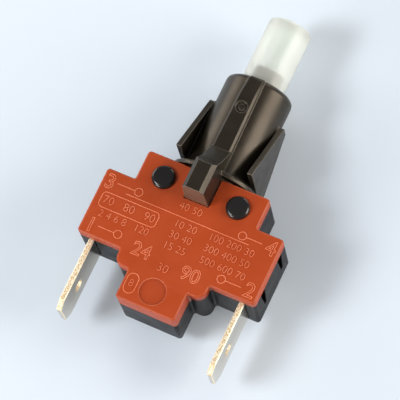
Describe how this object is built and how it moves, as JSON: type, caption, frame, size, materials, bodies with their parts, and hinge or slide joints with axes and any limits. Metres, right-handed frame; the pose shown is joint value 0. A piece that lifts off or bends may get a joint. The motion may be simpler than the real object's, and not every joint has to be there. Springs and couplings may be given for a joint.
{
  "type": "oven light switch",
  "caption": "Latching push-button oven lamp switch: white cap in a snap-in panel collar, stepped case with a red-brown cover and two blade terminals.",
  "frame": {"origin": "on the button's axis, in the flange face that meets the back of the panel", "axes": "+Y along the button, out of the panel; +Z out of the red-brown cover; +X to the right of the front view. The switch lies on its back, on its snap ears and the tongue's back edge, about 6 degrees off level."},
  "size_m": [0.0268, 0.051, 0.0175],
  "materials": {
    "black_case": "glossy moulded black",
    "black_collar": "satin moulded black",
    "red_cover": "satin red-brown thermoset",
    "white_button": "milky translucent",
    "slider_black": "moulded black",
    "tinned_brass": "tinned, with bare cut edges",
    "copper_alloy": "bright rolled strip",
    "silver_contact": "bright silver",
    "spring_steel": "bright wire"
  },
  "bodies": {
    "case": {"housing": "black_case", "cover": "red_cover", "collar": "black_collar", "terminal_left": "tinned_brass", "terminal_right": "tinned_brass", "fixed_tip_left": "silver_contact", "fixed_tip_right": "silver_contact", "return_spring": "spring_steel", "latch_leaf": "spring_steel"},
    "plunger": {"button": "white_button", "slider": "slider_black"},
    "bridge": {"contact_bridge": "copper_alloy", "bridge_tip_left": "silver_contact", "bridge_tip_right": "silver_contact", "contact_spring": "spring_steel"},
    "latch": {"latch_pin": "spring_steel"}
  },
  "joints": [
    {"name": "button_press", "type": "slide", "parent": "case", "child": "plunger", "axis": [0, -1, 0], "range_m": [0, 0.0045], "stiffness_N_per_m": 300, "springref_m": -0.004, "deforming": ["return_spring", "contact_spring"]},
    {"name": "bridge_travel", "type": "slide", "parent": "case", "child": "bridge", "axis": [0, -1, 0], "range_m": [0, 0.003]},
    {"name": "latch_swing", "type": "hinge", "parent": "case", "child": "latch", "pos_m": [0, -0.0032, 0.00295], "axis": [0, 0, 1], "range_deg": [0, 13.7]}
  ],
  "couplings": [
    {"joint": "bridge_travel", "follows": "button_press", "ratio": 0.66667}
  ]
}
